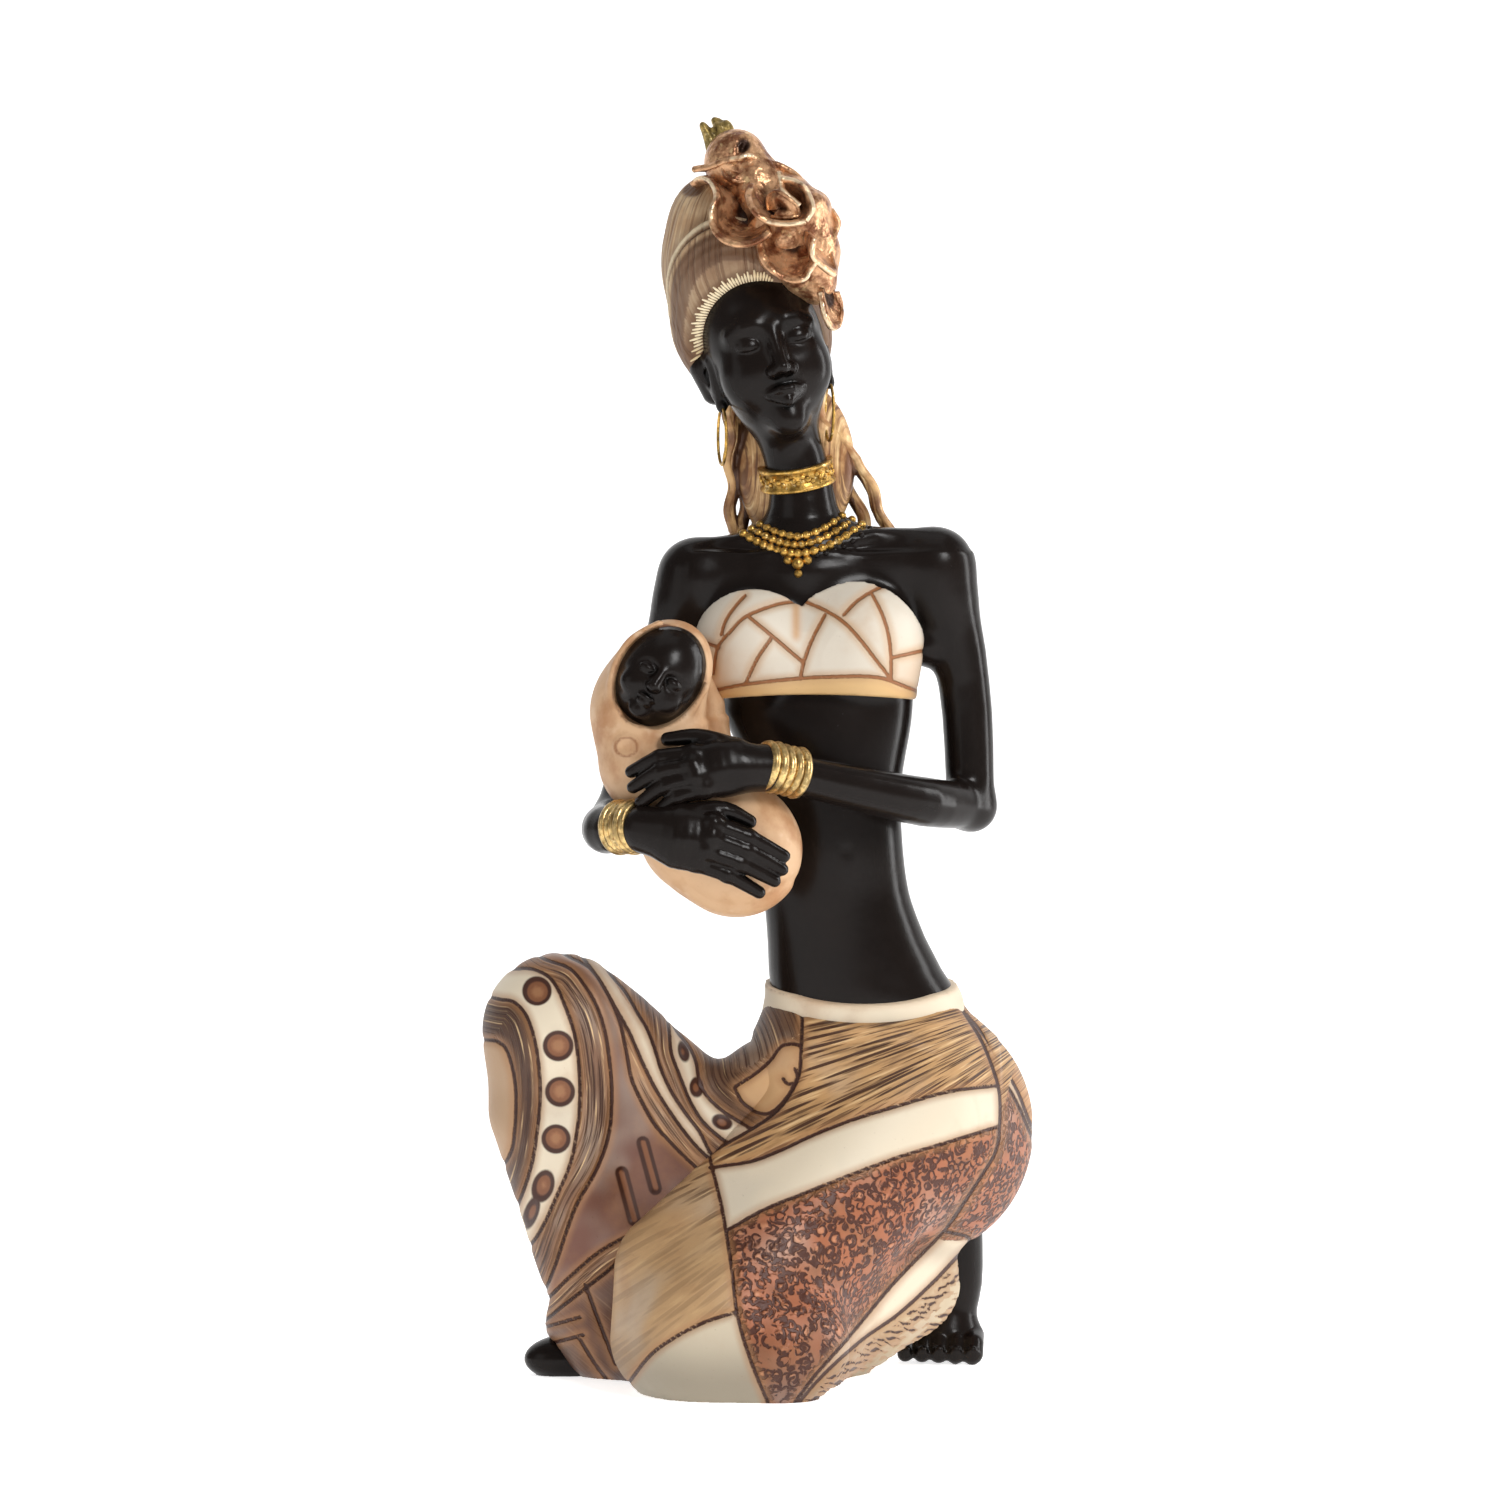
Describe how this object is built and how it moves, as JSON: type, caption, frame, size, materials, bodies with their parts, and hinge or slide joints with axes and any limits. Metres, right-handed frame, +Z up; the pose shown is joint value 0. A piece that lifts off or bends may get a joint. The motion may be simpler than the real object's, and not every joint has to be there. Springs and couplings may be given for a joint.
{
  "type": "kneeling woman figurine",
  "caption": "Painted cast figurine of a kneeling woman in a rose turban and patterned wrap skirt, cradling a swaddled child, standing on a flat underside.",
  "frame": {"origin": "middle of the footprint of the whole object, at the ground", "axes": "+Z up, -Y the way she faces, +X to her own left, which is the right of the picture"},
  "size_m": [0.149, 0.113, 0.3401],
  "materials": {
    "painted_resin": "cast resin, hand painted, satin varnish",
    "gold_wire": "gilt wire, polished"
  },
  "bodies": {
    "root": {"figure": "painted_resin", "earring_right": "gold_wire", "earring_left": "gold_wire"}
  },
  "joints": []
}
